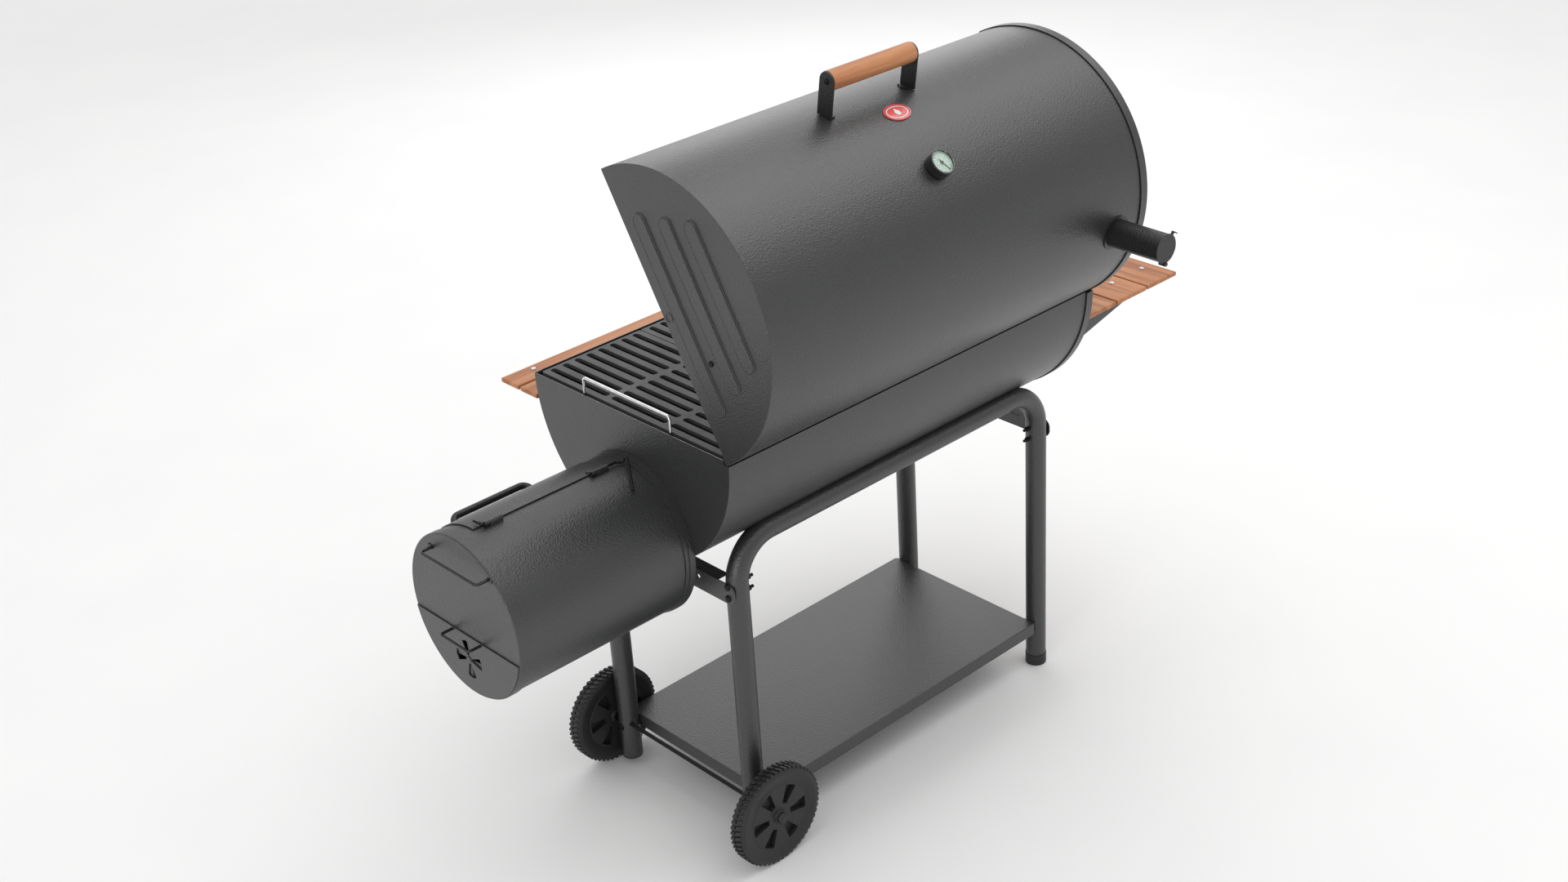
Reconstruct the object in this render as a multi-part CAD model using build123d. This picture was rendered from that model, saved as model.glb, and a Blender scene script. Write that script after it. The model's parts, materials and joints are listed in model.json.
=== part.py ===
from build123d import *
from math import cos, radians, sin, sqrt
import os

# Barrel charcoal grill with an offset firebox, drawn in millimetres.
# +X points to the firebox end, -Y to the front, where the cook stands, and +Z up.
# Everything is drawn about the middle of the barrel, with z = 0 on the floor and the lid closed.
# The lid group is then swung open, and the whole model is moved to its bottom centre.

# ---- driving dimensions ----
BARREL_R = 260.0
BARREL_HALF = 451.8
BARREL_Z = 841.0
WALL = 1.6
RIM_Z = 848.6
REAR_RIM_Z = 840.2
FAR_REAR_RIM_Z = 838.0
REAR_RIM_Y = 246.0
LID_RIM_Z = 849.2
LID_OPEN = 60.45
HINGE_Y = 250.7
HINGE_Z = 848.5

FAR_CAP_X = -472.0
FAR_SKIRT_R = 262.4
LAP_R = BARREL_R - WALL - 0.2
LAP_LENGTH = 14.0
SEAL_WALL = 1.2
SEAL_Y = 252.6
SEAL_Z = 838.8
SEAL_CURL_R = 7.2

FIREBOX_Z = 621.7
FIREBOX_R = 148.2
FIREBOX_FAR = 455.0
FIREBOX_END = 825.0
FIREBOX_WALL = 2.0
PORT_Z = 692.0
PORT_R = 66.0

LEG_NEAR_X = 387.6
LEG_FAR_X = -401.3
LEG_Y = 180.3
TUBE_R = 20.4
TUBE_WALL = 1.8
FRAME_TOP_Z = 635.8
FRAME_BEND = 80.0
NEAR_LEG_FOOT = 19.0
FOOT_CAP_H = 24.0

BRACE_BOTTOM = 525.0
BRACE_TOP = 565.0
FAR_BRACE_DROP = 6.0

SHELF_TOP = 109.0
SHELF_X0 = -380.0
SHELF_X1 = 373.0
SHELF_Y = 197.0
SHELF_LIP = 25.0
SHELF_BOLT_Z = 88.5

AXLE_X = 396.0
AXLE_R = 4.0
WHEEL_R = 98.5
WHEEL_W = 31.0
HUB_HALF = 16.5
FRONT_WHEEL_Y = -220.5
REAR_WHEEL_Y = 245.8
WHEEL_WINDOWS = 6
WINDOW_DEPTH = 11.0

GRATE_TOP = 848.5
GRATE_T = 12.0
GRATE_Y = 252.0
GRATE_SLOT = 13.0
GRATE_PITCH = 27.2
GRATE_START = 441.0
GRATE_GAP = 2.0
GRATE_SLOTS = (8, 8, 8, 7)

TRAY_X = 424.0
TRAY_Y = 168.0
TRAY_Z = 690.0
TRAY_H = 40.0
TRAY_HANDLE_ENDS = (-455.0, 445.6)
TRAY_HANDLE_Y = -7.0
TRAY_HANDLE_HALF = 115.0
TRAY_HANDLE_TOP = 880.0

HANDLE_X = 10.0
HANDLE_ANGLE = 141.0
HANDLE_R = 323.0
GRIP_R = 17.5
GRIP_HALF = 97.0

STACK_X = -391.0
STACK_TILT = 59.75
STACK_OFFSET = -51.0
STACK_R = 26.3
STACK_END = 365.6
DAMPER_PIVOT = 29.6
DAMPER_TAB_TURN = -35.0

DIAL_X = 4.0
DIAL_ANGLE = 102.2
DIAL_R = 23.5
DIAL_DEPTH = 20.0
NEEDLE_TURN = 118.0
BADGE_X = -8.0
BADGE_ANGLE = 129.1

FRONT_SLAT_TOP = 803.0
SLAT_T = 9.0
SIDE_SLAT_TOP = 777.5
SIDE_SLAT_Y = 245.0
SIDE_SLAT_EDGES = ((-564.0, -474.6), (-658.0, -568.0), (-752.0, -662.0))
FRONT_SLAT_EDGES = ((-370.0, -317.5), (-312.5, -262.0))

SIDE_BOLT_Y = 183.0
FRONT_BOLT_X = 390.0
GUSSET_Y = 194.0
GUSSET_LOW = 690.0
GUSSET_BOLT_HEIGHTS = (708.0, 742.0)

DRAWER_TOP = 587.5
DRAWER_TROUGH_R = 141.0
DRAWER_HANDLE_Y = 39.5
DRAWER_HANDLE_Z = 584.0
VENT_Y = -2.0
VENT_Z = 539.0
VENT_TURN = 20.0
VENT_PETALS = 4

FB_HINGE_Y = 6.0
FB_HINGE_Z = 776.2
FB_LID_X0 = 507.0
FB_LID_X1 = 785.0
FB_LID_LOW = 172.0
FB_HANDLE_ANGLE = 154.0
FB_HANDLE_R = 184.0
LID_KNUCKLES = ((535.5, 544.0), (757.5, 766.0))
FIXED_KNUCKLES = ((509.0, 535.0), (731.0, 757.0))
KNUCKLE_R = 4.2
HINGE_WIRE_R = 2.2
GRAB_ENDS = (-68.0, 88.0)
GRAB_Z = 730.0
GRAB_REACH = 24.0

PIVOT_R = 3.0
RIB_ROWS = ((891.0, 5.0, 178.0), (951.5, 4.0, 153.0), (1010.5, 3.0, 130.0))
RIB_HALF = 17.0
CAP_BOLT_Y = 95.0
CAP_BOLT_Z = 920.5

parts = {}


# ---- small helpers ----
def box(x0, x1, y0, y1, z0, z1):
    """A block between two corners."""
    middle = Pos((x0 + x1) / 2, (y0 + y1) / 2, (z0 + z1) / 2)
    return middle * Box(x1 - x0, y1 - y0, z1 - z0)


def rod_x(y, z, radius, x0, x1):
    """A round bar along X."""
    return Pos((x0 + x1) / 2, y, z) * Rot(0, 90, 0) * Cylinder(radius, x1 - x0)


def rod_y(x, z, radius, y0, y1):
    """A round bar along Y."""
    return Pos(x, (y0 + y1) / 2, z) * Rot(90, 0, 0) * Cylinder(radius, y1 - y0)


def rod_z(x, y, radius, z0, z1):
    """A round bar along Z."""
    return Pos(x, y, (z0 + z1) / 2) * Cylinder(radius, z1 - z0)


def ring_x(y, z, outer, inner, x0, x1):
    """A pipe along X."""
    return rod_x(y, z, outer, x0, x1) - rod_x(y, z, inner, x0 - 1, x1 + 1)


def along_x(sketch, x0, x1):
    """A YZ outline pushed along X."""
    return extrude(Plane.YZ.offset(x0) * sketch, x1 - x0)


def wire(points, bend, radius):
    """A round wire along straight runs joined by equal bends."""
    path = FilletPolyline(*points, radius=bend)
    return sweep(Plane(path @ 0, z_dir=path % 0) * Circle(radius), path=path)


def dome_head(radius, height):
    """A low domed bolt head standing on Z = 0."""
    head = Cylinder(radius, height, align=(Align.CENTER, Align.CENTER, Align.MIN))
    return fillet(head.edges().group_by(Axis.Z)[-1], height * 0.7)


def bolt(seat, shank, length, head=6.5, height=3.2):
    """A bolt at a frame: its head stands on the frame and its shank runs down -Z."""
    stem = Pos(0, 0, -length / 2) * Cylinder(shank, length)
    return seat * (dome_head(head, height) + stem)


def seat_at(x, y, z, direction):
    """A frame at a point whose Z follows a direction."""
    return Plane((x, y, z), z_dir=direction).location


def opened(shape):
    """A shape of the lid group, drawn closed, swung open about the lid hinge."""
    return shape.rotate(Axis((0, HINGE_Y, HINGE_Z), (1, 0, 0)), -LID_OPEN)


def radial(x, angle, radius):
    """A frame on the lid at an angle up from the rear, with Z pointing out and X along the barrel."""
    turn = radians(angle)
    out = (0, cos(turn), sin(turn))
    spot = (x, radius * cos(turn), BARREL_Z + radius * sin(turn))
    return Plane(spot, x_dir=(1, 0, 0), z_dir=out).location


def keep(name, *shapes):
    """File a finished sub-part, or a group of equal pieces, under its node name."""
    parts[name] = shapes[0] if len(shapes) == 1 else Compound(children=list(shapes))


def half_space(z, upper):
    """All the room over or under a height."""
    low, high = (z, 3000) if upper else (-100, z)
    return box(-1500, 1500, -1500, 1500, low, high)


# ---- cart ----
def u_frame(y):
    """One bent tube: two legs and the bar under the barrel, pressed flat where the barrel sits in it."""
    corners = [
        (LEG_FAR_X, y, 1.5),
        (LEG_FAR_X, y, FRAME_TOP_Z),
        (LEG_NEAR_X, y, FRAME_TOP_Z),
        (LEG_NEAR_X, y, NEAR_LEG_FOOT),
    ]
    path = FilletPolyline(*corners, radius=FRAME_BEND)
    start = Plane(path @ 0, z_dir=path % 0)
    seat = BARREL_R + 0.2
    outside = sweep(start * Circle(TUBE_R), path=path) - rod_x(0, BARREL_Z, seat, -600, 600)
    inside = sweep(start * Circle(TUBE_R - TUBE_WALL), path=path)
    tube = outside - (inside - rod_x(0, BARREL_Z, seat + TUBE_WALL, -600, 600))
    tube -= rod_y(AXLE_X, WHEEL_R, AXLE_R + 0.2, y - 30, y + 30)
    for x, drop in ((LEG_NEAR_X, 0), (LEG_FAR_X, FAR_BRACE_DROP)):
        for z in brace_bolt_heights(drop):
            tube -= rod_x(y, z, 3.1, x - 30, x + 30)
        tube -= rod_x(y, SHELF_BOLT_Z, 3.1, x - 30, x + 30)
    return tube


def brace_bolt_heights(drop):
    """The two bolt heights at each end of a cross brace."""
    return (BRACE_BOTTOM + 11 - drop, BRACE_TOP - 6 - drop)


def brace(leg_x, direction, drop):
    """A folded strip bolted to the outside of two legs, with its top edge turned inwards."""
    web_in = leg_x + direction * (TUBE_R + 0.1)
    web_out = web_in + direction * 2
    low = BRACE_BOTTOM - drop
    high = BRACE_TOP - drop
    outline = Pos(0, (low + high) / 2) * RectangleRounded(2 * SHELF_Y, high - low, 17)
    plate = along_x(outline, min(web_in, web_out), max(web_in, web_out))
    turned = web_in - direction * 24
    plate += box(min(turned, web_out), max(turned, web_out), -154, 154, high - 2, high)
    for side in (-1, 1):
        plate -= rod_x(side * 104, high - 14, 4, web_in - 5, web_in + 5)
        for z in brace_bolt_heights(drop):
            plate -= rod_x(side * LEG_Y, z, 3.1, web_in - 5, web_in + 5)
    return plate


def cart_bolt(leg_x, direction, y, z, reach, nut_gap):
    """A bolt from outside a leg, through it, with its nut on the inner side."""
    seat = seat_at(leg_x + direction * (TUBE_R + reach), y, z, (direction, 0, 0))
    grip = 2 * TUBE_R + reach + nut_gap
    nut = Pos(0, 0, -grip - 4.5) * extrude(RegularPolygon(5.5, 6), 4.5)
    return bolt(seat, 3, grip + 12) + seat * nut


def shelf_bolt(leg_x, direction, y):
    """A bolt through a leg into the shelf's end tab, and its nut."""
    return cart_bolt(leg_x, direction, y, SHELF_BOLT_Z, 0, 3)


def make_cart():
    """The tube frames and braces. Gives the bolts that hold them and the bottom shelf."""
    keep("rear_u_frame", u_frame(LEG_Y))
    keep("front_u_frame", u_frame(-LEG_Y))
    keep("firebox_end_brace", brace(LEG_NEAR_X, 1, 0))
    keep("shelf_end_brace", brace(LEG_FAR_X, -1, FAR_BRACE_DROP))
    bolts = []
    for y in (-LEG_Y, LEG_Y):
        for x, direction, drop in ((LEG_NEAR_X, 1, 0), (LEG_FAR_X, -1, FAR_BRACE_DROP)):
            bolts.append(shelf_bolt(x, direction, y))
            for z in brace_bolt_heights(drop):
                bolts.append(cart_bolt(x, direction, y, z, 2.1, 3))
    return bolts


def firebox_bolts():
    """The bolts of the firebox flange, with their heads inside the firebox."""
    return [bolt(seat_at(FIREBOX_FAR - 0.5, y, z, (1, 0, 0)), 3, 14) for y, z in flange_bolt_spots()]


def foot_cap(y):
    """A plastic cap over the foot of a plain leg."""
    outer = rod_z(LEG_FAR_X, y, TUBE_R + 1.0, 0, FOOT_CAP_H)
    outer = fillet(outer.edges().group_by(Axis.Z)[0], 1.2)
    return outer - rod_z(LEG_FAR_X, y, TUBE_R + 0.05, 1.5, FOOT_CAP_H + 1)


def leg_plug(y):
    """A plastic plug in the open foot of a wheel leg."""
    plug = rod_z(LEG_NEAR_X, y, TUBE_R, NEAR_LEG_FOOT - 3, NEAR_LEG_FOOT)
    plug = fillet(plug.edges().group_by(Axis.Z)[0], 1.5)
    return plug + rod_z(LEG_NEAR_X, y, TUBE_R - TUBE_WALL - 0.1, NEAR_LEG_FOOT, NEAR_LEG_FOOT + 14)


def make_feet():
    ends = [foot_cap(-LEG_Y), foot_cap(LEG_Y), leg_plug(-LEG_Y), leg_plug(LEG_Y)]
    keep("leg_end_caps", *ends)


def make_bottom_shelf():
    """A pressed tray with its edges turned down and a notch round each leg."""
    low = SHELF_TOP - SHELF_LIP
    pan = box(SHELF_X0, SHELF_X1, -SHELF_Y, SHELF_Y, low, SHELF_TOP)
    pan = fillet(pan.edges().filter_by(Axis.Z), 6)
    pan = fillet(pan.edges().group_by(Axis.Z)[-1], 2.4)
    inside = SHELF_Y - WALL
    hollow = box(SHELF_X0 + WALL, SHELF_X1 - WALL, -inside, inside, low - 1, SHELF_TOP - WALL)
    hollow = fillet(hollow.edges().filter_by(Axis.Z), 4.4)
    shelf = pan - hollow
    for x in (LEG_NEAR_X, LEG_FAR_X):
        for y in (-LEG_Y, LEG_Y):
            shelf -= rod_z(x, y, TUBE_R + 0.3, low - 5, SHELF_TOP + 5)
    for x, direction in ((LEG_NEAR_X, 1), (LEG_FAR_X, -1)):
        for y in (-LEG_Y, LEG_Y):
            face = x - direction * (TUBE_R + 0.3)
            back = face - direction * 2
            shelf += box(min(face, back), max(face, back), y - 12, y + 12, low, SHELF_TOP - 0.5)
            shelf -= rod_x(y, SHELF_BOLT_Z, 3.1, min(face, back) - 5, max(face, back) + 5)
    keep("bottom_shelf", shelf)


# ---- wheels ----
def wheel_blank():
    """A moulded wheel about the Z axis: slightly crowned walls, a tread band, a hub, and wedge pockets."""
    wall = WHEEL_W / 2
    half = [
        (AXLE_R + 0.05, HUB_HALF), (13, HUB_HALF), (14.5, wall - 3), (60, wall - 2.5), (86, wall),
        (WHEEL_R - 5, wall - 1), (WHEEL_R, wall - 6),
    ]
    mirrored = [(radius, -level) for radius, level in reversed(half)]
    wheel = revolve(Plane.XZ * make_face(Polyline(*half, *mirrored, close=True)), Axis.Z)
    for step in range(WHEEL_WINDOWS):
        for level in (wall - WINDOW_DEPTH, -wall - 5):
            wheel -= Rot(0, 0, 360 / WHEEL_WINDOWS * step) * Pos(0, 0, level) * window()
    return wheel


def window():
    """One wedge-shaped pocket of the wheel's wall."""
    wedge = make_face(Polyline((26, -5), (61, -13), (63, 0), (61, 13), (26, 5), close=True))
    return extrude(fillet(wedge.vertices(), 1.5), WINDOW_DEPTH + 5)


def wheel_at(y, spin):
    return Pos(AXLE_X, y, WHEEL_R) * Rot(90, 0, 0) * Rot(0, 0, spin) * wheel_blank()


def make_wheels():
    keep("front_wheel", wheel_at(FRONT_WHEEL_Y, 8))
    keep("rear_wheel", wheel_at(REAR_WHEEL_Y, 20))
    front_end = FRONT_WHEEL_Y - HUB_HALF - 7
    rear_end = REAR_WHEEL_Y + HUB_HALF + 7
    keep("axle_rod", rod_y(AXLE_X, WHEEL_R, AXLE_R, front_end, rear_end))
    front_spacer = axle_ring(9, FRONT_WHEEL_Y + HUB_HALF + 0.4, -LEG_Y - TUBE_R - 0.3)
    rear_spacer = axle_ring(9, LEG_Y + TUBE_R + 0.3, REAR_WHEEL_Y - HUB_HALF - 0.4)
    keep("axle_spacers", front_spacer, rear_spacer)
    keep("axle_caps", axle_cap(front_end, -1), axle_cap(rear_end, 1))


def axle_ring(radius, y0, y1):
    """A spacer tube that slides on the axle."""
    return rod_y(AXLE_X, WHEEL_R, radius, y0, y1) - rod_y(AXLE_X, WHEEL_R, AXLE_R, y0 - 1, y1 + 1)


def axle_cap(end, direction):
    """A domed push cap on the end of the axle."""
    frame = seat_at(AXLE_X, end - direction * 7, WHEEL_R, (0, direction, 0))
    cap = frame * dome_head(11, 9)
    return cap - rod_y(AXLE_X, WHEEL_R, AXLE_R, *sorted((end, end - direction * 9)))


# ---- barrel ----
def barrel_trim(shape, rear_rim=REAR_RIM_Z):
    """The lower half of a drum; its rim is lower behind the hinge, where the lid's rear edge swings."""
    shape &= half_space(RIM_Z, False)
    return shape - box(-600, 600, REAR_RIM_Y, 400, rear_rim, 900)


def near_cap_profile(edge, lap):
    """Half section of a flat end cap: a disc with a lap that slides inside the drum."""
    return [
        (edge, 0), (edge, BARREL_R - 1.0), (edge - 1.0, BARREL_R), (edge - WALL, BARREL_R),
        (edge - WALL, LAP_R), (edge - WALL - lap, LAP_R), (edge - WALL - lap, LAP_R - WALL),
        (edge - WALL, LAP_R - WALL), (edge - WALL, 0),
    ]


def far_cap_profile():
    """Half section of the deep end cap: disc, proud skirt, and a joggled lap inside the drum."""
    groove = -BARREL_HALF - 1.2
    inner = FAR_CAP_X + WALL
    lap_end = -BARREL_HALF + LAP_LENGTH
    return [
        (FAR_CAP_X, 0), (FAR_CAP_X, FAR_SKIRT_R - 2), (FAR_CAP_X + 2, FAR_SKIRT_R), (groove, FAR_SKIRT_R),
        (groove, LAP_R), (lap_end, LAP_R), (lap_end, LAP_R - WALL), (groove - WALL, LAP_R - WALL),
        (groove - WALL, FAR_SKIRT_R - WALL), (inner, FAR_SKIRT_R - WALL), (inner, 0),
    ]


def drum_cap(profile):
    """A full round cap from its half section, about the barrel's axis."""
    face = make_face(Polyline(*profile, close=True))
    turned = revolve(Plane.XZ * face, Axis.X)
    return Pos(0, 0, BARREL_Z) * turned


def drum_shell():
    edge = BARREL_HALF - WALL
    return ring_x(0, BARREL_Z, BARREL_R, BARREL_R - WALL, -BARREL_HALF, edge)


def rear_seal():
    """The drum's rear rim turned in and curled up round the hinge line, just clear of the lid's edge."""
    upright = Pos(SEAL_Y + SEAL_WALL / 2, SEAL_Z + 2) * Rectangle(SEAL_WALL, 4)
    ledge_end = BARREL_R - WALL + 0.4
    ledge = Pos((SEAL_Y + ledge_end) / 2, SEAL_Z + SEAL_WALL / 2) * Rectangle(ledge_end - SEAL_Y, SEAL_WALL)
    curl = Pos(HINGE_Y, HINGE_Z) * (Circle(SEAL_CURL_R) - Circle(SEAL_CURL_R - SEAL_WALL))
    curl &= Pos(SEAL_Y + 10, HINGE_Z - 10) * Rectangle(20, 20)
    reach = BARREL_HALF - LAP_LENGTH - 2.3
    return along_x(upright + ledge + curl, -reach, reach - WALL)


def make_barrel():
    keep("barrel_shell", barrel_trim(drum_shell()) + rear_seal())
    near = barrel_trim(drum_cap(near_cap_profile(BARREL_HALF, LAP_LENGTH)))
    near -= rod_x(0, PORT_Z, PORT_R, 400, 500)
    for seat in flange_bolt_spots():
        near -= rod_x(seat[0], seat[1], 3.1, 400, 500)
    keep("barrel_near_cap", near)
    far = barrel_trim(drum_cap(far_cap_profile()), FAR_REAR_RIM_Z)
    for y, z in gusset_bolt_spots():
        far -= rod_x(y, z, 3.1, -500, -460)
    keep("barrel_far_cap", far)


def angle_rail(side, half, inner, wall, low, top):
    """An L-shaped rail along the drum, with its flange towards the middle."""
    flange = sorted((side * inner, side * wall))
    leg = sorted((side * (wall - 2), side * wall))
    return box(-half, half, *flange, top - 2, top) + box(-half, half, *leg, low, top)


def grate_rails():
    """Two angle rails inside the drum that carry the cooking grates."""
    seat = GRATE_TOP - GRATE_T - 0.2
    rails = []
    for side in (-1, 1):
        wall = sqrt((LAP_R - WALL) ** 2 - (seat - 22 - BARREL_Z) ** 2) - 0.3
        rails.append(angle_rail(side, 433, wall - 20, wall, seat - 22, seat))
    return rails


def ear_span(side, near, far):
    """Two distances inwards from the inner face of an end cap, as X limits in rising order."""
    plate = BARREL_HALF - WALL if side > 0 else FAR_CAP_X + WALL
    return sorted((plate - side * near, plate - side * far))


def hinge_ear_fixed(side):
    """An ear on the barrel's end cap that holds the lid's pivot pin."""
    ear = rod_x(HINGE_Y, HINGE_Z, 7, *ear_span(side, 0.5, 3))
    ear += box(*ear_span(side, 0.5, 3), HINGE_Y - 7, HINGE_Y + 1, 832, HINGE_Z)
    ear += box(*ear_span(side, 0, 3), 226, HINGE_Y + 1, 796, 836)
    return ear - rod_x(HINGE_Y, HINGE_Z, PIVOT_R, *ear_span(side, -5, 12))


def hinge_ear_lid(side):
    """The lid's ear beside the fixed one; its pad reaches out to the lid's end cap."""
    ear = rod_x(HINGE_Y, HINGE_Z, 7, *ear_span(side, 3.4, 5.9))
    ear += box(*ear_span(side, 3.4, 5.9), HINGE_Y - 7, HINGE_Y + 2, HINGE_Z, 888)
    ear += box(*ear_span(side, 0, 5.9), HINGE_Y - 18, HINGE_Y + 2, 866, 888)
    ear &= rod_x(0, BARREL_Z, LAP_R - WALL - 0.3, -600, 600)
    return ear - rod_x(HINGE_Y, HINGE_Z, PIVOT_R + 0.05, *ear_span(side, -5, 12))


def hinge_pin(side):
    """The rivet both ears turn on, with a thin head towards the grates."""
    shank = rod_x(HINGE_Y, HINGE_Z, PIVOT_R, *ear_span(side, 0.6, 6.2))
    return shank + rod_x(HINGE_Y, HINGE_Z, 5, *ear_span(side, 6.2, 7.4))


def make_hinges():
    keep("hinge_ears", hinge_ear_fixed(-1), hinge_ear_fixed(1))
    keep("hinge_pins", hinge_pin(-1), hinge_pin(1))
    keep("lid_hinge_ears", opened(hinge_ear_lid(-1)), opened(hinge_ear_lid(1)))


# ---- lid ----
def lid_trim(shape):
    return shape & half_space(LID_RIM_Z, True)


def hinge_room():
    """The space inside the near cap's lap that the fixed hinge ear turns in."""
    return rod_x(HINGE_Y, HINGE_Z, 7.5, *ear_span(1, 0.05, 30))


def pressed_rib(z, y, half, depth, grow):
    """A long round-ended bulge in the end cap."""
    outline = Pos(y, z) * SlotOverall(2 * (half + RIB_HALF) + 2 * grow, 2 * (RIB_HALF + grow))
    return extrude(Plane.YZ.offset(BARREL_HALF - WALL) * outline, depth, taper=35)


def make_lid():
    shell = lid_trim(drum_shell())
    shell -= stack_bore(STACK_R + 0.3)
    shell -= radial(DIAL_X, DIAL_ANGLE, BARREL_R) * Cylinder(4.5, 20)
    keep("lid_shell", opened(shell))
    near = lid_trim(drum_cap(near_cap_profile(BARREL_HALF, LAP_LENGTH))) - hinge_room()
    for z, y, half in RIB_ROWS:
        near += pressed_rib(z, y, half - RIB_HALF, 4.6, 0)
        near -= Pos(-WALL, 0, 0) * pressed_rib(z, y, half - RIB_HALF, 4.4, -0.6)
    near += along_x(Pos(2, 862.5) * (Circle(9) - Circle(7.4)), BARREL_HALF, BARREL_HALF + 0.8)
    near -= rod_x(CAP_BOLT_Y, CAP_BOLT_Z, 2.6, 440, 460)
    keep("lid_near_cap", opened(near))
    keep("lid_far_cap", opened(lid_trim(drum_cap(far_cap_profile()))))


def stack_frame(along):
    """A frame on the smokestack's axis, that far out from the barrel's axis, with Z up the stack."""
    turn = radians(STACK_TILT)
    out = (0, cos(turn), sin(turn))
    spot = (
        STACK_X,
        -STACK_OFFSET * sin(turn) + along * cos(turn),
        BARREL_Z + STACK_OFFSET * cos(turn) + along * sin(turn),
    )
    return Plane(spot, x_dir=(1, 0, 0), z_dir=out).location


def stack_bore(radius, start=200.0, end=420.0):
    """A round bar along the stack's axis."""
    return stack_frame((start + end) / 2) * Cylinder(radius, end - start)


def make_stack():
    inside = rod_x(0, BARREL_Z, BARREL_R - 6, -500, -300)
    ear = stack_frame(STACK_END - 5.5) * (Pos(0, DAMPER_PIVOT - 3, 0) * Box(8.8, 6, 11))
    ear += stack_frame(STACK_END - 5.5) * (Pos(0, DAMPER_PIVOT, 0) * Cylinder(4.4, 11))
    tube = stack_bore(STACK_R, 200, STACK_END) + ear
    collar_band = ring_x(0, BARREL_Z, BARREL_R + 2.6, BARREL_R + 0.1, -440, -340)
    tube += (collar_band & stack_bore(STACK_R + 6)) - stack_bore(STACK_R - 0.5)
    tube -= stack_bore(STACK_R - 1.5)
    tube -= stack_frame(STACK_END) * (Pos(0, DAMPER_PIVOT, 0) * Cylinder(2, 30))
    keep("smokestack_tube", opened(tube - inside))
    plate = Cylinder(STACK_R + 0.8, 1.5) + Pos(0, DAMPER_PIVOT, 0) * Cylinder(4.4, 1.5)
    plate += Pos(0, DAMPER_PIVOT - 3, 0) * Box(8.8, 6, 1.5)
    tab = Pos(0, -STACK_R - 2.5, 0) * Box(8, 8, 1.5) + Pos(0, -STACK_R - 5.8, 3.4) * Box(8, 1.4, 8.3)
    plate += Rot(0, 0, DAMPER_TAB_TURN) * tab
    plate -= Pos(0, DAMPER_PIVOT, 0) * Cylinder(2.05, 5)
    keep("smokestack_damper", opened(stack_frame(STACK_END + 1.05) * plate))
    rivet = Cylinder(2, 14) + Pos(0, 0, 7.7) * Cylinder(3.6, 1.4)
    keep("damper_rivet", opened(stack_frame(STACK_END - 4.6) * (Pos(0, DAMPER_PIVOT, 0) * rivet)))


def handle_bracket(x, inward):
    """A flat strap from the lid's skin to the grip, with a round top and a foot turned inwards."""
    frame = radial(x, HANDLE_ANGLE, 0)
    strap = Pos(0, 0, (BARREL_R + 0.6 + HANDLE_R) / 2) * Box(3, 33, HANDLE_R - BARREL_R - 0.6)
    strap += Pos(0, 0, HANDLE_R) * Rot(0, 90, 0) * Cylinder(16.5, 3)
    strap = frame * strap
    strap -= rod_x(0, BARREL_Z, BARREL_R + 0.1, x - 30, x + 30)
    foot = ring_x(0, BARREL_Z, BARREL_R + 2.6, BARREL_R + 0.1, *sorted((x, x + inward * 17)))
    tongue = Pos(inward * 5, 0, BARREL_R) * Box(14, 26, 40) + Pos(inward * 8, 0, BARREL_R) * Cylinder(9, 40)
    foot &= frame * tongue
    bore = frame * (Pos(0, 0, HANDLE_R) * Rot(0, 90, 0) * Cylinder(2.6, 10))
    return strap + foot - bore


def make_lid_handle():
    ends = (HANDLE_X + GRIP_HALF + 1.6, HANDLE_X - GRIP_HALF - 1.6)
    keep("lid_handle_brackets", opened(handle_bracket(ends[0], -1)), opened(handle_bracket(ends[1], 1)))
    grip = Rot(0, 90, 0) * Cylinder(GRIP_R, 2 * GRIP_HALF)
    grip = fillet(grip.edges(), 1.2) - Rot(0, 90, 0) * Cylinder(2.5, 3 * GRIP_HALF)
    keep("lid_handle_grip", opened(radial(HANDLE_X, HANDLE_ANGLE, HANDLE_R) * grip))
    cap_spot = seat_at(BARREL_HALF, CAP_BOLT_Y, CAP_BOLT_Z, (1, 0, 0))
    screws = [opened(bolt(cap_spot, 2.5, 9, head=5, height=3))]
    for x, direction in ((ends[0] + 1.6, 1), (ends[1] - 1.6, -1)):
        out = radial(x, HANDLE_ANGLE, HANDLE_R)
        screws.append(opened(bolt(seat_at(*out.position, (direction, 0, 0)), 2.5, 34, head=5, height=2.6)))
    keep("lid_screws", *screws)


def curved_disc(sketch, x, angle, low, high):
    """A thin plate of that outline lying on the lid's skin."""
    column = radial(x, angle, BARREL_R - 20) * extrude(sketch, 60)
    return column & ring_x(0, BARREL_Z, BARREL_R + high, BARREL_R + low, x - 80, x + 80)


def make_badge():
    plate = curved_disc(Ellipse(27, 20), BADGE_X, BADGE_ANGLE, 0.1, 1.6)
    rim = curved_disc(Ellipse(27, 20) - Ellipse(24.5, 17.5), BADGE_X, BADGE_ANGLE, 1.5, 2.4)
    keep("lid_badge", opened(plate + rim))


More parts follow.
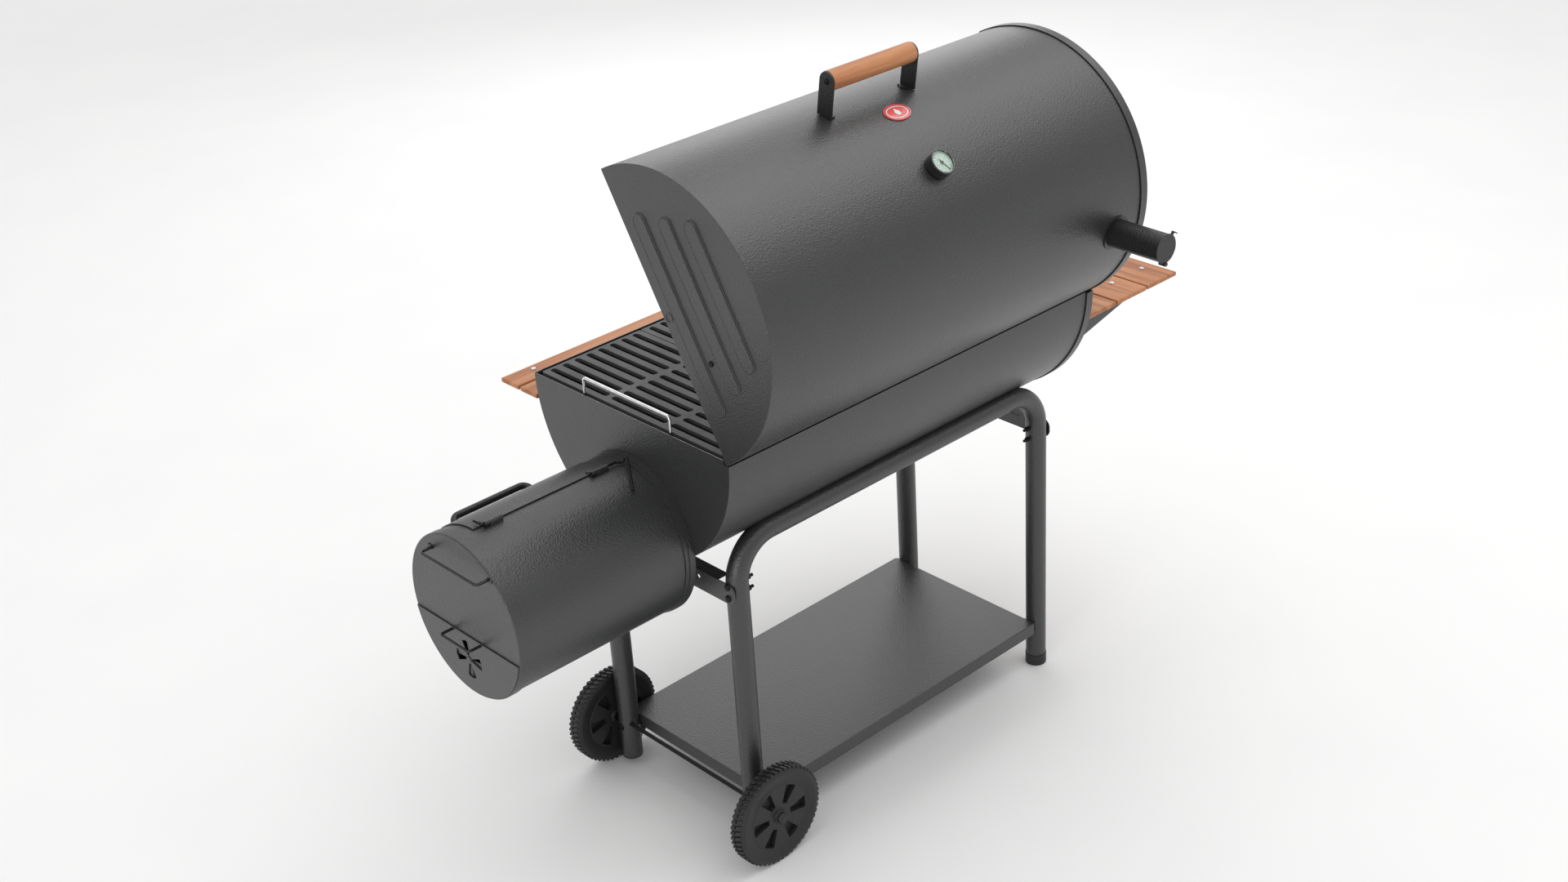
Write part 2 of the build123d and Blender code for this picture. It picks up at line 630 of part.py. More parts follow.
def make_thermometer():
    seat = radial(DIAL_X, DIAL_ANGLE, BARREL_R + 1.0)
    cup = Pos(0, 0, DIAL_DEPTH / 2) * Cylinder(DIAL_R, DIAL_DEPTH)
    cup = fillet(cup.edges().group_by(Axis.Z)[-1], 1.4)
    cup = fillet(cup.edges().group_by(Axis.Z)[0], 3)
    cup -= Pos(0, 0, DIAL_DEPTH - 3) * Cylinder(DIAL_R - 2.4, 8.02)
    cup -= Pos(0, 0, 5) * Cylinder(4.0, 40)
    keep("thermometer_housing", opened(seat * cup))
    face = Pos(0, 0, DIAL_DEPTH - 6.4) * Cylinder(DIAL_R - 2.5, 1) - Pos(0, 0, 10) * Cylinder(1.2, 30)
    keep("thermometer_dial", opened(seat * face))
    lens = Pos(0, 0, DIAL_DEPTH - 1.0) * Cylinder(DIAL_R - 2.5, 1.2)
    keep("thermometer_lens", opened(seat * lens))
    level = DIAL_DEPTH - 4.4
    pointer = Pos(5, 0, level) * Box(24, 1.4, 0.6) + Pos(0, 0, level) * Cylinder(2.6, 0.8)
    pointer += Pos(0, 0, level - 3.6) * Cylinder(1.1, 7)
    keep("thermometer_needle", opened(seat * Rot(0, 0, NEEDLE_TURN) * pointer))
    stem = Pos(0, 0, -24) * Cylinder(3.9, 64) - Pos(0, 0, 10) * Cylinder(1.3, 30)
    nut = Pos(0, 0, -7.2) * extrude(RegularPolygon(9, 6), 4)
    keep("thermometer_stem", opened(seat * (stem + nut)))


# ---- inside the barrel ----
def grate(start, slots):
    """One cast grate: a plate with three rows of long round-ended slots and a rib under each edge."""
    width = slots * GRATE_PITCH + 10.2
    end = start - width
    plate = box(end, start, -GRATE_Y, GRATE_Y, GRATE_TOP - 7, GRATE_TOP)
    plate = fillet(plate.edges().filter_by(Axis.Z), 4)
    for y in (-GRATE_Y + 4, GRATE_Y - 4, -78, 78):
        plate += box(end + 6, start - 6, y - 2.5, y + 2.5, GRATE_TOP - GRATE_T, GRATE_TOP - 6)
    first = start - 5.1 - GRATE_PITCH / 2
    for index in range(slots):
        for y, length in ((0, 146), (-165.5, 161), (165.5, 161)):
            hole = SlotOverall(length, GRATE_SLOT, rotation=90)
            plate -= Pos(first - index * GRATE_PITCH, y, GRATE_TOP - 20) * extrude(hole, 30)
    return plate, end - GRATE_GAP


def make_grates():
    start = GRATE_START
    for number, slots in enumerate(GRATE_SLOTS, 1):
        shape, start = grate(start, slots)
        keep(f"cooking_grate_{number}", shape)


def tray_handle(x):
    """A chrome wire hoop hooked into the charcoal tray's end, up past the grates."""
    y0 = TRAY_HANDLE_Y - TRAY_HANDLE_HALF
    y1 = TRAY_HANDLE_Y + TRAY_HANDLE_HALF
    tip = TRAY_Z + TRAY_H - 14
    hook = TRAY_X + 4 if x > 0 else -TRAY_X - 4
    up = [(hook, y0, tip), (x, y0, tip), (x, y0, TRAY_HANDLE_TOP)]
    down = [(x, y1, TRAY_HANDLE_TOP), (x, y1, tip), (hook, y1, tip)]
    return wire(up + down, 6, 2.5)


def make_tray():
    """The pan with slotted floor that holds the charcoal, lifted by its two hoops."""
    rim = TRAY_Z + TRAY_H
    pan = box(-TRAY_X, TRAY_X, -TRAY_Y, TRAY_Y, TRAY_Z, rim)
    pan -= box(-TRAY_X + 1.6, TRAY_X - 1.6, -TRAY_Y + 1.6, TRAY_Y - 1.6, TRAY_Z + 1.6, rim + 1)
    for column in range(-12, 13):
        for row in (-1, 1):
            slot = SlotOverall(120, 9, rotation=90)
            pan -= Pos(column * 32, row * 76, TRAY_Z - 5) * extrude(slot, 20)
    for side in (-1, 1):
        outer = side * TRAY_X
        for y in (TRAY_HANDLE_Y - TRAY_HANDLE_HALF, TRAY_HANDLE_Y + TRAY_HANDLE_HALF):
            lug = box(*sorted((outer, outer + side * 7)), y - 7, y + 7, rim - 22, rim - 6)
            pan += lug - rod_x(y, rim - 14, 2.55, *sorted((outer, outer + side * 8)))
    keep("charcoal_tray", pan)
    keep("tray_lift_handles", *[tray_handle(x) for x in TRAY_HANDLE_ENDS])


def tray_rests():
    """Two angle rails low in the drum that carry the charcoal tray."""
    rests = []
    for side in (-1, 1):
        wall = sqrt((BARREL_R - WALL) ** 2 - (TRAY_Z - 22 - BARREL_Z) ** 2) - 0.4
        inner = TRAY_Y - 14
        low = TRAY_Z - 22
        rests.append(angle_rail(side, 430, inner, wall, low, TRAY_Z - 0.3))
    return rests


# ---- firebox ----
def flange_bolt_spots():
    """Where the firebox flange is bolted to the barrel's end, inside both circles."""
    return [(side * y, z) for side in (-1, 1) for y, z in ((100.0, 655.0), (82.0, 731.0))]


def firebox_lid_room(grow):
    """The quarter of the firebox wall that the lid covers."""
    reach = FIREBOX_R + 30
    points = [(0, 0)]
    for step in range(9):
        turn = radians(91 - grow + (FB_LID_LOW - 6 + 2 * grow - 91) * step / 8)
        points.append((reach * cos(turn), reach * sin(turn)))
    wedge = make_face(Polyline(*points, close=True))
    return along_x(Pos(0, FIREBOX_Z) * wedge, FB_LID_X0 + 8 - grow, FB_LID_X1 - 8 + grow)


def make_firebox():
    shell = ring_x(0, FIREBOX_Z, FIREBOX_R, FIREBOX_R - FIREBOX_WALL, FIREBOX_FAR + 2, FIREBOX_END - 2)
    keep("firebox_shell", shell - firebox_lid_room(0))
    back = rod_x(0, FIREBOX_Z, FIREBOX_R + 3.6, FIREBOX_FAR - 3, FIREBOX_FAR - 0.5)
    back += ring_x(0, FIREBOX_Z, FIREBOX_R + 3.6, FIREBOX_R + 0.2, FIREBOX_FAR - 3, FIREBOX_FAR + 9)
    back += ring_x(0, FIREBOX_Z, FIREBOX_R + 1.9, FIREBOX_R + 0.2, FIREBOX_FAR, FIREBOX_FAR + 17)
    back -= rod_x(0, PORT_Z, PORT_R, 400, 500)
    for y, z in flange_bolt_spots():
        back -= rod_x(y, z, 3.1, 400, 500)
    keep("firebox_back_plate", back)
    cap = rod_x(0, FIREBOX_Z, FIREBOX_R + 1.9, FIREBOX_END - 19, FIREBOX_END)
    cap = fillet(cap.edges().group_by(Axis.X)[-1], 3.0)
    cap -= rod_x(0, FIREBOX_Z, FIREBOX_R + 0.1, FIREBOX_END - 30, FIREBOX_END - 2)
    mouth = along_x(Pos(0, FIREBOX_Z) * Circle(FIREBOX_R - 6), FIREBOX_END - 10, FIREBOX_END + 10)
    mouth &= half_space(DRAWER_TOP - 8, False)
    cap -= mouth
    for y in GRAB_ENDS:
        cap -= rod_x(y, GRAB_Z, 2.7, FIREBOX_END - 10, FIREBOX_END + 10)
    keep("firebox_end_cap", cap)


def make_grab_handle():
    """A wire handle fixed across the upper half of the firebox end, with a flattened foot at each end."""
    inside = FIREBOX_END - 12
    out = FIREBOX_END + GRAB_REACH
    low, high = GRAB_ENDS
    points = [(inside, low, GRAB_Z), (out, low, GRAB_Z), (out, high, GRAB_Z), (inside, high, GRAB_Z)]
    handle = wire(points, 8, 2.6)
    for y, lean in ((low, -4), (high, 4)):
        foot = Pos(y + lean, GRAB_Z) * SlotOverall(16, 8)
        handle += along_x(foot, FIREBOX_END + 0.1, FIREBOX_END + 1.6)
    keep("firebox_grab_handle", handle)


def hinge_bore(x0, x1):
    """The bore of the firebox lid's hinge."""
    return rod_x(FB_HINGE_Y, FB_HINGE_Z, HINGE_WIRE_R + 0.05, x0, x1)


def make_firebox_lid():
    """The curved lid and its knuckles, and the fixed knuckles on the drum."""
    low = radians(FB_LID_LOW)
    band = ring_x(0, FIREBOX_Z, FIREBOX_R + 2.6, FIREBOX_R + 0.6, FB_LID_X0, FB_LID_X1)
    reach = FIREBOX_R + 40
    sector = [(0, 0), (0.5, reach), (-reach, reach), (reach * cos(low) * 1.02, reach * sin(low))]
    wedge = Pos(0, FIREBOX_Z) * make_face(Polyline(*sector, close=True))
    lid = band & along_x(wedge, FB_LID_X0 - 1, FB_LID_X1 + 1)
    for x0, x1 in LID_KNUCKLES:
        leaf = rod_x(FB_HINGE_Y, FB_HINGE_Z, KNUCKLE_R, x0, x1)
        leaf += box(x0, x1, -9, FB_HINGE_Y - 1, FIREBOX_Z + FIREBOX_R + 1.4, FB_HINGE_Z - 0.6)
        lid += leaf - rod_x(0, FIREBOX_Z, FIREBOX_R + 2.5, x0 - 1, x1 + 1)
    keep("firebox_lid", lid - hinge_bore(480, 800))
    fixed = []
    for x0, x1 in FIXED_KNUCKLES:
        knuckle = rod_x(FB_HINGE_Y, FB_HINGE_Z, KNUCKLE_R, x0, x1)
        knuckle += box(x0, x1, FB_HINGE_Y - 3.4, FB_HINGE_Y + KNUCKLE_R, FIREBOX_Z + FIREBOX_R - 4, FB_HINGE_Z)
        knuckle -= rod_x(0, FIREBOX_Z, FIREBOX_R + 0.05, x0 - 1, x1 + 1)
        fixed.append(knuckle - hinge_bore(x0 - 1, x1 + 1))
    keep("firebox_hinge_knuckles", *fixed)


def bent_pin(points, bends):
    """A hinge wire along straight runs with a bend of its own at each corner."""
    path = FilletPolyline(*points, radius=bends)
    return sweep(Plane(path @ 0, z_dir=path % 0) * Circle(HINGE_WIRE_R), path=path)


def make_hinge_pins():
    """The firebox lid's two hinge wires: one turned over the lid, one bent up and down over the drum."""
    y, z = FB_HINGE_Y, FB_HINGE_Z
    over_lid = [(730, y, z), (771, y, z), (773, -14, z + 1)]
    keep("firebox_hinge_pin_outer", bent_pin(over_lid, [4]))
    over_drum = [(545, y, z), (492, y, z), (479, 12, 773.4), (463, 1, 791), (487, 38, 772.5), (512, 78, 756)]
    keep("firebox_hinge_pin_inner", bent_pin(over_drum, [5, 4, 6, 30]))


def make_firebox_handle():
    """A round bar bent into a D on the firebox lid."""
    turn = radians(FB_HANDLE_ANGLE)
    ends = ((FB_LID_X0 + FB_LID_X1) / 2 - 84, (FB_LID_X0 + FB_LID_X1) / 2 + 78)
    spots = ((ends[0], FIREBOX_R), (ends[0], FB_HANDLE_R), (ends[1], FB_HANDLE_R), (ends[1], FIREBOX_R))
    points = [(x, radius * cos(turn), FIREBOX_Z + radius * sin(turn)) for x, radius in spots]
    hoop = wire(points, 16, 6.5) - rod_x(0, FIREBOX_Z, FIREBOX_R + 2.65, 500, 800)
    keep("firebox_lid_handle", hoop)


def make_fire_grate():
    """A slotted plate over the ash drawer."""
    plate = box(474, 800, -136, 136, 596, 600)
    for column in range(10):
        for row in (-1, 1):
            slot = SlotOverall(112, 12, rotation=90)
            plate -= Pos(494 + column * 31.5, row * 66, 590) * extrude(slot, 20)
    keep("fire_grate", plate)


def fire_grate_rails():
    """Two flat rails in the firebox that carry its grate."""
    rails = []
    for side in (-1, 1):
        outer = sqrt((FIREBOX_R - FIREBOX_WALL) ** 2 - (595.7 - FIREBOX_Z) ** 2) - 0.6
        y0, y1 = sorted((side * 126, side * outer))
        rails.append(box(462, 812, y0, y1, 592.7, 595.7))
    return rails


def petal(turn):
    """One pie-shaped hole of the draught vent."""
    points = [(8, -2.6), (33, -11.5), (36.5, 0), (33, 11.5), (8, 2.6)]
    slot = fillet(make_face(Polyline(*points, close=True)).vertices(), 1.2)
    return Pos(VENT_Y, VENT_Z) * Rot(0, 0, turn) * slot


def make_drawer():
    front = along_x(Pos(0, FIREBOX_Z) * Circle(FIREBOX_R - 1), FIREBOX_END + 0.5, FIREBOX_END + 2.5)
    front &= half_space(DRAWER_TOP, False)
    front = fillet(front.edges().group_by(Axis.X)[-1], 0.8)
    for index in range(VENT_PETALS):
        front -= along_x(petal(90 * index + 5), FIREBOX_END - 5, FIREBOX_END + 5)
    front -= rod_x(VENT_Y, VENT_Z, 2.5, FIREBOX_END - 5, FIREBOX_END + 5)
    for side in (-1, 1):
        front -= rod_x(side * DRAWER_HANDLE_Y, DRAWER_HANDLE_Z, 2.5, FIREBOX_END - 5, FIREBOX_END + 5)
    keep("ash_drawer_front", front)
    ring = ring_x(0, FIREBOX_Z, DRAWER_TROUGH_R, DRAWER_TROUGH_R - 1.6, 470, FIREBOX_END + 0.5)
    back = rod_x(0, FIREBOX_Z, DRAWER_TROUGH_R, 470, 471.6)
    trough = (ring + back) & half_space(DRAWER_TOP - 12, False)
    keep("ash_drawer_pan", trough)
    out = FIREBOX_END + 27
    inside = FIREBOX_END + 0.5
    y = DRAWER_HANDLE_Y
    z = DRAWER_HANDLE_Z
    points = [(inside, -y, z), (out, -y, z), (out, y, z), (inside, y, z)]
    keep("ash_drawer_handle", wire(points, 5, 2.5))
    disc = along_x(Pos(VENT_Y, VENT_Z) * Circle(40), FIREBOX_END - 1.4, FIREBOX_END + 0.1)
    for index in range(VENT_PETALS):
        disc -= along_x(petal(90 * index + 5 + VENT_TURN), FIREBOX_END - 5, FIREBOX_END + 5)
    disc -= rod_x(VENT_Y, VENT_Z, 2.55, FIREBOX_END - 5, FIREBOX_END + 5)
    keep("draught_vent_disc", disc)
    seat = seat_at(FIREBOX_END + 2.5, VENT_Y, VENT_Z, (1, 0, 0))
    rivet = bolt(seat, 2.5, 5.5, head=6, height=1.6)
    rivet += rod_x(VENT_Y, VENT_Z, 5, FIREBOX_END - 3.6, FIREBOX_END - 1.7)
    keep("draught_vent_rivet", rivet)


# ---- wooden shelves ----
def slat(x0, x1, y0, y1, top):
    board = box(x0, x1, y0, y1, top - SLAT_T, top)
    return fillet(board.edges(), 2.4)


def make_front_shelf():
    slats = [slat(-BARREL_HALF, BARREL_HALF, y0, y1, FRONT_SLAT_TOP) for y0, y1 in FRONT_SLAT_EDGES]
    bolts = []
    brackets = []
    for x in (-FRONT_BOLT_X, FRONT_BOLT_X):
        brackets.append(front_bracket(x))
        for y0, y1 in FRONT_SLAT_EDGES:
            middle = (y0 + y1) / 2 - 9
            bolts.append(slat_bolt(x, middle, FRONT_SLAT_TOP))
            for index, board in enumerate(slats):
                slats[index] = board - rod_z(x, middle, 3.1, 700, 900)
    keep("front_shelf_slats", *slats)
    keep("front_shelf_brackets", *brackets)
    return bolts


def front_bracket(x):
    """An angle bracket under the front slats, its web shaped to the drum."""
    top = FRONT_SLAT_TOP - SLAT_T
    corners = [(-362, top), (-200, top), (-200, top - 80), (-238, top - 80), (-362, top - 14)]
    web = make_face(Polyline(*corners, close=True))
    arm = along_x(web, x - 11, x - 9) + box(x - 11, x + 11, -362, -200, top - 2, top)
    arm -= rod_x(0, BARREL_Z, BARREL_R + 0.1, x - 40, x + 40)
    for y0, y1 in FRONT_SLAT_EDGES:
        arm -= rod_z(x, (y0 + y1) / 2 - 9, 3.1, 700, 900)
    return arm


def slat_bolt(x, y, top):
    """A coach bolt through a slat and its bracket, with a nut below."""
    seat = seat_at(x, y, top, (0, 0, 1))
    nut = Pos(0, 0, -SLAT_T - 6.6) * extrude(RegularPolygon(5.5, 6), 4.5)
    return bolt(seat, 3, SLAT_T + 9, head=5.2, height=2.2) + seat * nut


def side_bracket(side):
    """A gusset bolted to the barrel's far cap that carries the side slats."""
    top = SIDE_SLAT_TOP - SLAT_T
    cap = FAR_CAP_X - 0.2
    y0, y1 = sorted((side * (GUSSET_Y - 30), side * GUSSET_Y))
    edge = sorted((side * (GUSSET_Y - 2), side * GUSSET_Y))
    web = make_face(Polyline((cap, top), (-742, top), (-742, top - 14), (cap, GUSSET_LOW), close=True))
    arm = extrude(Plane.XZ.offset(-edge[1]) * web, 2)
    arm += box(-742, cap, y0, y1, top - 2, top)
    arm += box(cap - 2, cap, y0, y1, GUSSET_LOW + 3, top)
    for x0, x1 in SIDE_SLAT_EDGES:
        arm -= rod_z(side_bolt_x(x0, x1), side * SIDE_BOLT_Y, 3.1, 700, 900)
    for z in GUSSET_BOLT_HEIGHTS:
        arm -= rod_x(side * (GUSSET_Y - 17), z, 3.1, -500, -460)
    return arm


def side_bolt_x(x0, x1):
    return (x0 + x1) / 2 - 14


def make_side_shelf():
    slats = []
    bolts = []
    for x0, x1 in SIDE_SLAT_EDGES:
        board = slat(x0, x1, -SIDE_SLAT_Y, SIDE_SLAT_Y, SIDE_SLAT_TOP)
        for side in (-1, 1):
            x = side_bolt_x(x0, x1)
            board -= rod_z(x, side * SIDE_BOLT_Y, 3.1, 700, 900)
            bolts.append(slat_bolt(x, side * SIDE_BOLT_Y, SIDE_SLAT_TOP))
        slats.append(board)
    keep("side_shelf_slats", *slats)
    keep("side_shelf_brackets", side_bracket(-1), side_bracket(1))
    return bolts


def gusset_bolt_spots():
    """Where the side brackets are bolted to the barrel's far cap."""
    return [(side * (GUSSET_Y - 17), z) for side in (-1, 1) for z in GUSSET_BOLT_HEIGHTS]


def gusset_bolts():
    return [bolt(seat_at(FAR_CAP_X - 2.2, y, z, (-1, 0, 0)), 3, 12) for y, z in gusset_bolt_spots()]


# ---- assembly ----
def make_all():
    keep("cart_bolts", *make_cart(), *firebox_bolts())
    make_feet()
    make_bottom_shelf()
    make_wheels()
    make_barrel()
    keep("grate_rails", *grate_rails(), *tray_rests(), *fire_grate_rails())
    make_hinges()
    make_lid()
    make_stack()
    make_lid_handle()
    make_badge()
    make_thermometer()
    make_grates()
    make_tray()
    make_firebox()
    make_grab_handle()
    make_firebox_lid()
    make_hinge_pins()
    make_firebox_handle()
    make_fire_grate()
    make_drawer()
    keep("shelf_bolts", *make_front_shelf(), *make_side_shelf(), *gusset_bolts())


def bottom_centre():
    """The middle of the whole model's box, on the floor."""
    boxes = [shape.bounding_box() for shape in parts.values()]
    x = (min(b.min.X for b in boxes) + max(b.max.X for b in boxes)) / 2
    y = (min(b.min.Y for b in boxes) + max(b.max.Y for b in boxes)) / 2
    return Vector(x, y, min(b.min.Z for b in boxes))


def main():
    make_all()
    centre = bottom_centre()
    os.makedirs("parts", exist_ok=True)
    for name, shape in parts.items():
        export_step(Pos(-centre.X, -centre.Y, -centre.Z) * shape, f"parts/{name}.step")
    print(f"origin moved to {centre.X:.3f} {centre.Y:.3f} {centre.Z:.3f}; {len(parts)} nodes")


main()
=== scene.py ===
"""Looks for the barrel charcoal grill.

Every CAD node gets a procedural finish. The wheels, the lid cap's rib edges, the dial's ticks and the
badge's device are built here. A pale floor, a studio dome, three soft boxes and a camera complete it.
"""

import json
import math

import bmesh
import bpy
from mathutils import Matrix, Vector


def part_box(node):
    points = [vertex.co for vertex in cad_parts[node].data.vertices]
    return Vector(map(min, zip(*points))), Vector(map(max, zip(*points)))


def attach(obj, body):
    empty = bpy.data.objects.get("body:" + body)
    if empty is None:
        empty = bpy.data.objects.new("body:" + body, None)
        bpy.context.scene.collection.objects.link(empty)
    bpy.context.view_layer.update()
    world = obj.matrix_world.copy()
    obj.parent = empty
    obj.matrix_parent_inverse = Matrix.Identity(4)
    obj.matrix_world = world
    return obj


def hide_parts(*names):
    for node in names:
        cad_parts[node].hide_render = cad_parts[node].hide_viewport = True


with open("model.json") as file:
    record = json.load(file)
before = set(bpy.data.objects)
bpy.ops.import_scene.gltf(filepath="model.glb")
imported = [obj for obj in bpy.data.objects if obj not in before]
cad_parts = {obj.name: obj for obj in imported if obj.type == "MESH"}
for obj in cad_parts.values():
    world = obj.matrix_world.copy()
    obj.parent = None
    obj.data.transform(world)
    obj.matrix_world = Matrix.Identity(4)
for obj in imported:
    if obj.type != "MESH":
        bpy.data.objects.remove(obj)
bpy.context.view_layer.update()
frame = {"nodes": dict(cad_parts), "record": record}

# The barrel's middle is the point that the camera and the built pieces are placed from.
BARREL_R = 0.26
shell_low, shell_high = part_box("barrel_shell")
CENTRE = Vector((
    (shell_low.x + shell_high.x) / 2,
    (shell_low.y + shell_high.y) / 2,
    shell_low.z + BARREL_R,
))

# ---- node helpers ----


def add_node(tree, kind, settings=None, **inputs):
    """A shader node with its settings and its unlinked inputs."""
    node = tree.nodes.new(kind)
    for key, value in (settings or {}).items():
        setattr(node, key, value)
    for key, value in inputs.items():
        node.inputs[key.replace("_", " ")].default_value = value
    return node


def new_material(name):
    """An empty node material, its tree and its main shader."""
    made = bpy.data.materials.new(name)
    made.use_nodes = True
    return made, made.node_tree, made.node_tree.nodes["Principled BSDF"]


def object_space(tree):
    """Object coordinates, in metres."""
    return add_node(tree, "ShaderNodeTexCoord").outputs["Object"]


def noise(tree, frequency, detail=2.0, roughness=0.5):
    """Noise of that frequency per metre."""
    node = add_node(tree, "ShaderNodeTexNoise", Scale=frequency, Detail=detail, Roughness=roughness)
    tree.links.new(object_space(tree), node.inputs["Vector"])
    return node.outputs["Fac"]


def ramp(tree, factor, stops):
    """A colour ramp with (place, colour) stops."""
    node = add_node(tree, "ShaderNodeValToRGB")
    elements = node.color_ramp.elements
    while len(elements) < len(stops):
        elements.new(0.5)
    for element, (place, colour) in zip(elements, stops):
        element.position = place
        element.color = (*colour, 1.0)
    tree.links.new(factor, node.inputs["Fac"])
    return node.outputs["Color"]


def spread(tree, factor, low, high, start=0.0, stop=1.0):
    """A value between start and stop mapped to a range, and held beyond them."""
    node = add_node(tree, "ShaderNodeMapRange")
    node.inputs["From Min"].default_value = start
    node.inputs["From Max"].default_value = stop
    node.inputs["To Min"].default_value = low
    node.inputs["To Max"].default_value = high
    tree.links.new(factor, node.inputs["Value"])
    return node.outputs["Result"]


def arithmetic(tree, operation, *values):
    """One maths node on links or numbers."""
    node = add_node(tree, "ShaderNodeMath", {"operation": operation})
    for socket, value in zip(node.inputs, values):
        if isinstance(value, (int, float)):
            socket.default_value = value
        else:
            tree.links.new(value, socket)
    return node.outputs["Value"]


def bump(tree, shader, height, strength, distance):
    """Relief on a shader's normal, of that depth in metres."""
    node = add_node(tree, "ShaderNodeBump", Strength=strength, Distance=distance)
    tree.links.new(height, node.inputs["Height"])
    tree.links.new(node.outputs["Normal"], shader.inputs["Normal"])


def weighted(tree, first, second, share):
    """The sum of two values, the second with that share and the first with the rest."""
    return arithmetic(
        tree, "ADD",
        arithmetic(tree, "MULTIPLY", first, 1.0 - share),
        arithmetic(tree, "MULTIPLY", second, share),
    )


def shaded(colour, factor):
    """A colour made lighter or darker, and held at full white."""
    return [min(1.0, part * factor) for part in colour]


# ---- materials ----

PAINT_DARKER = (0.8, 0.82, 0.87)
PAINT_LIGHTER = (1.2, 1.23, 1.29)
PAINT_ROUGHNESS = (0.32, 0.42)
PAINT_RELIEF = 0.0007
GRAIN_IN_TINT, GRAIN_IN_RELIEF = 0.4, 0.15


def painted_steel(name, shade, gloss):
    """Satin heat-proof paint: a dark neutral shade with a pebbled orange-peel skin."""
    made, tree, shader = new_material(name)
    cloud = noise(tree, 5.0, detail=3.0)
    grain = noise(tree, 620.0)
    peel = noise(tree, 360.0, detail=0.6)
    darker = [shade * part for part in PAINT_DARKER]
    lighter = [shade * part for part in PAINT_LIGHTER]
    tint = ramp(tree, weighted(tree, cloud, grain, GRAIN_IN_TINT), [(0.25, darker), (0.75, lighter)])
    tree.links.new(tint, shader.inputs["Base Color"])
    tree.links.new(spread(tree, grain, *PAINT_ROUGHNESS), shader.inputs["Roughness"])
    shader.inputs["Specular IOR Level"].default_value = gloss
    relief = arithmetic(tree, "ADD", peel, arithmetic(tree, "MULTIPLY", grain, GRAIN_IN_RELIEF))
    bump(tree, shader, relief, strength=1.0, distance=PAINT_RELIEF)
    return made


# Painted shade: near-black colours for the steel under the grates, darker than its paint, standing in for
# the shade inside the barrel.
PAINTED_SHADE_BLACK, PAINTED_SHADE_BROWN = (0.004, 0.004, 0.004), (0.011, 0.0105, 0.01)
PAINTED_SHADE_ROUGHNESS, PAINTED_SHADE_GLOSS = (0.75, 0.95), 0.2


def painted_shade_steel():
    """Steel inside the barrel, matt and near black: painted shade, so that the slots between the grates
    read dark.
    """
    made, tree, shader = new_material("painted_shade_steel")
    cloud = noise(tree, 22.0, detail=4.0)
    speckle = noise(tree, 800.0, detail=3.0, roughness=0.7)
    tree.links.new(ramp(tree, cloud, [(0.3, PAINTED_SHADE_BLACK), (0.75, PAINTED_SHADE_BROWN)]), shader.inputs["Base Color"])
    tree.links.new(spread(tree, speckle, *PAINTED_SHADE_ROUGHNESS), shader.inputs["Roughness"])
    shader.inputs["Specular IOR Level"].default_value = PAINTED_SHADE_GLOSS
    bump(tree, shader, speckle, strength=0.4, distance=0.0004)
    return made


IRON_DARK, IRON_PALE = (0.075, 0.075, 0.077), (0.115, 0.115, 0.118)
IRON_ROUGHNESS, IRON_METALLIC = (0.5, 0.75), 0.35


def cast_iron():
    """Bare cast iron, seasoned: grey with a sandy skin."""
    made, tree, shader = new_material("cast_iron")
    cloud = noise(tree, 14.0, detail=4.0)
    sand = noise(tree, 900.0, detail=3.0, roughness=0.7)
    tree.links.new(ramp(tree, cloud, [(0.3, IRON_DARK), (0.7, IRON_PALE)]), shader.inputs["Base Color"])
    tree.links.new(spread(tree, sand, *IRON_ROUGHNESS), shader.inputs["Roughness"])
    shader.inputs["Metallic"].default_value = IRON_METALLIC
    bump(tree, shader, sand, strength=0.6, distance=0.0005)
    return made


def metal(name, colour, roughness, scratches):
    """Bare metal with fine marks, at that many per metre."""
    made, tree, shader = new_material(name)
    marks = noise(tree, scratches, detail=3.0)
    tint = ramp(tree, marks, [(0.35, shaded(colour, 0.88)), (0.65, shaded(colour, 1.08))])
    tree.links.new(tint, shader.inputs["Base Color"])
    tree.links.new(spread(tree, marks, *roughness), shader.inputs["Roughness"])
    shader.inputs["Metallic"].default_value = 1.0
    bump(tree, shader, marks, strength=0.15, distance=0.0001)
    return made


def moulded_plastic(name, colour, roughness):
    """Moulded plastic with a fine spark-eroded grain."""
    made, tree, shader = new_material(name)
    cloud = noise(tree, 20.0, detail=3.0)
    grain = noise(tree, 1500.0)
    tint = ramp(tree, cloud, [(0.3, colour), (0.75, shaded(colour, 1.3))])
    tree.links.new(tint, shader.inputs["Base Color"])
    tree.links.new(spread(tree, cloud, *roughness), shader.inputs["Roughness"])
    bump(tree, shader, grain, strength=0.25, distance=0.0002)
    return made


WOOD_STOPS = [
    (0.34, (0.22, 0.076, 0.027)),
    (0.48, (0.33, 0.118, 0.041)),
    (0.58, (0.43, 0.166, 0.062)),
    (0.74, (0.54, 0.235, 0.098)),
]
WOOD_ROUGHNESS = (0.38, 0.6)
# Scales of the noise along the grain: the lower, the more drawn out.
BAND_STRETCH, FIBRE_STRETCH = 0.06, 0.03
FIBRES_IN_TINT, BOARD_IN_TINT = 0.25, 0.1
# Boards look up places this far apart in the noise, so no two have the same figure.
BOARD_SHIFT = 7.0


